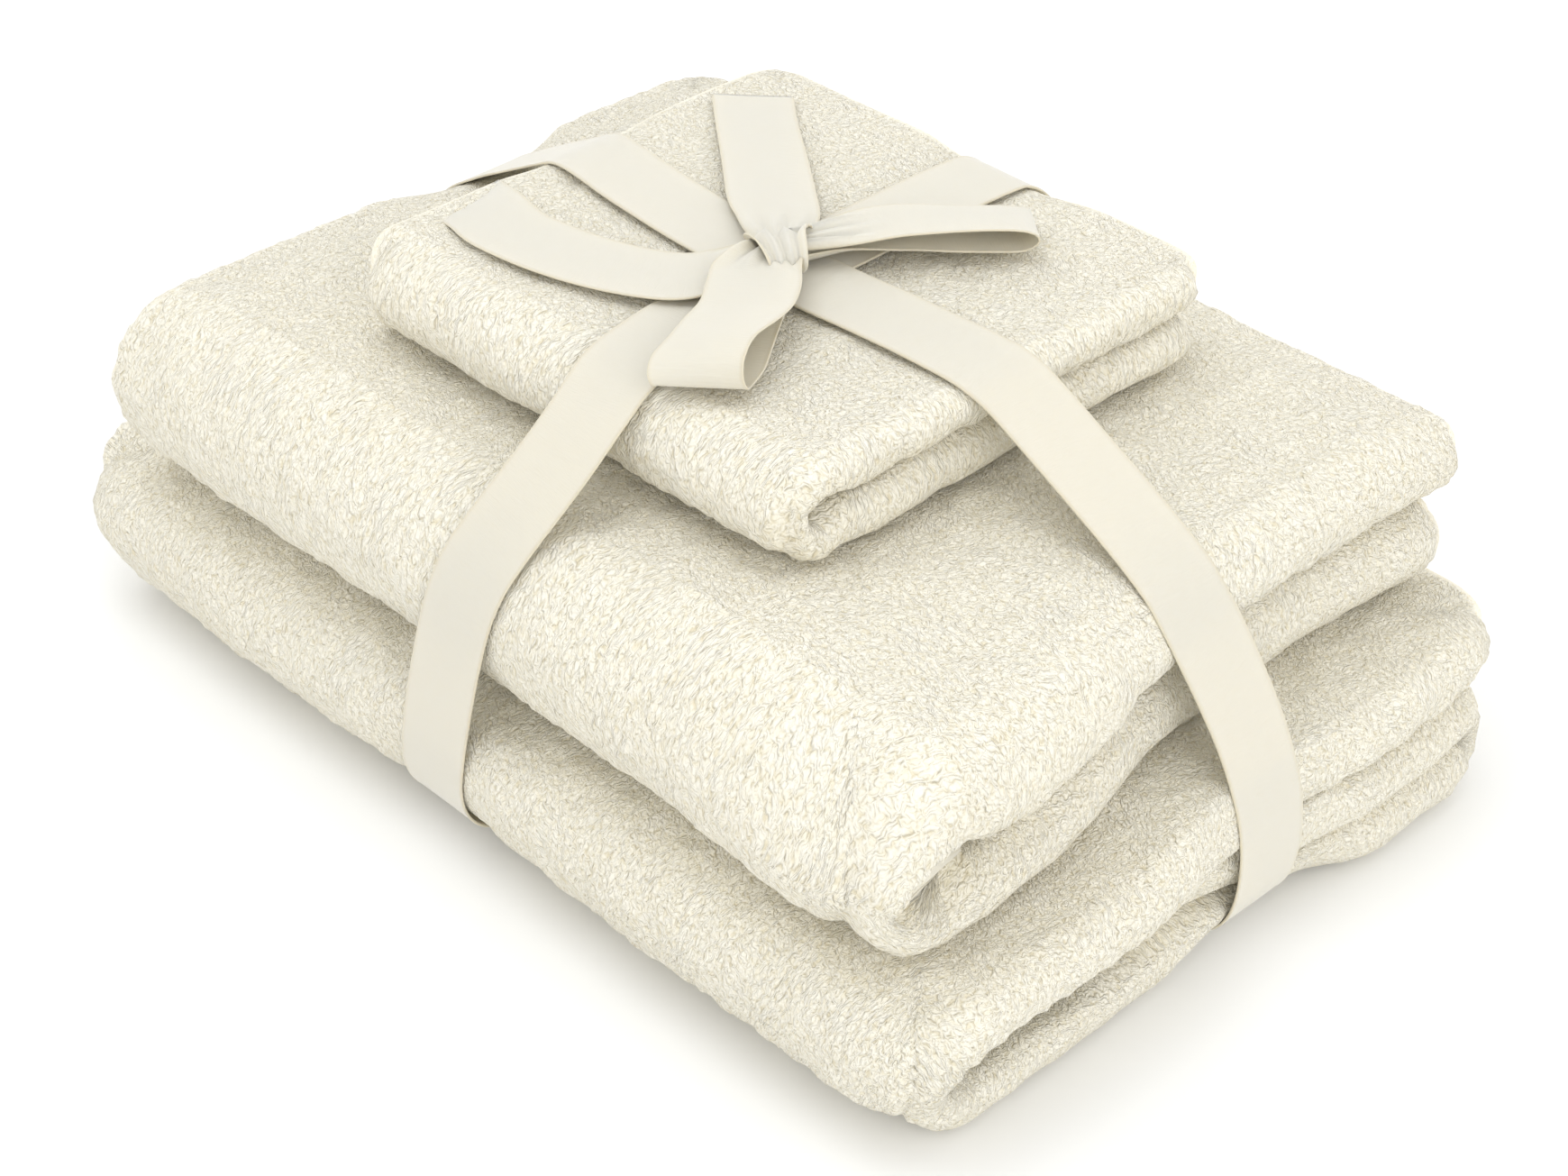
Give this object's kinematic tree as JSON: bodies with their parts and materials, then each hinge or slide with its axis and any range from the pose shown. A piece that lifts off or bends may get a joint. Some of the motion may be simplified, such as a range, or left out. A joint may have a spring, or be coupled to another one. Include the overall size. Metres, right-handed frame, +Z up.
{
  "type": "bath towel set",
  "caption": "Folded terry bath towel, hand towel and face cloth stacked and tied crosswise with a satin ribbon and a bow on top, as a gift set.",
  "frame": {"origin": "on the floor, below the middle of the folded bath towel, which is the middle of the whole set", "axes": "+X along the long side, towards the end that shows the open packs; -Y towards the round folds of the two large towels; +Z up, out of the bow"},
  "size_m": [0.36, 0.24, 0.1551],
  "materials": {
    "towel_terry": "cream cotton terry with dense uncut loops, matt and fluffy",
    "ribbon_satin": "cream woven ribbon, smooth, soft satin sheen, firm woven edges"
  },
  "bodies": {
    "towel_stack": {"bath_towel": "towel_terry", "hand_towel": "towel_terry", "face_cloth": "towel_terry", "ribbon_band_cross": "ribbon_satin", "ribbon_band_long": "ribbon_satin", "bow_knot": "ribbon_satin"},
    "bow_loop_right": {"bow_loop_right": "ribbon_satin"},
    "bow_loop_front": {"bow_loop_front": "ribbon_satin"},
    "bow_tail_left": {"bow_tail_left": "ribbon_satin"},
    "bow_tail_back": {"bow_tail_back": "ribbon_satin"}
  },
  "joints": [
    {"name": "bow_loop_right_lift", "type": "hinge", "parent": "towel_stack", "child": "bow_loop_right", "pos_m": [0.01891, 0.00767, 0.1441], "axis": [0.8746, -0.4848, 0], "range_deg": [0, 60]},
    {"name": "bow_loop_front_lift", "type": "hinge", "parent": "towel_stack", "child": "bow_loop_front", "pos_m": [0.01891, -0.01367, 0.1441], "axis": [-0.8746, -0.4848, 0], "range_deg": [0, 60]},
    {"name": "bow_tail_left_lift", "type": "hinge", "parent": "towel_stack", "child": "bow_tail_left", "pos_m": [0.00169, -0.00757, 0.1441], "axis": [-0.3746, 0.9272, 0], "range_deg": [0, 40]},
    {"name": "bow_tail_back_lift", "type": "hinge", "parent": "towel_stack", "child": "bow_tail_back", "pos_m": [0.00365, 0.00484, 0.1441], "axis": [0.6428, 0.766, 0], "range_deg": [0, 40]}
  ]
}
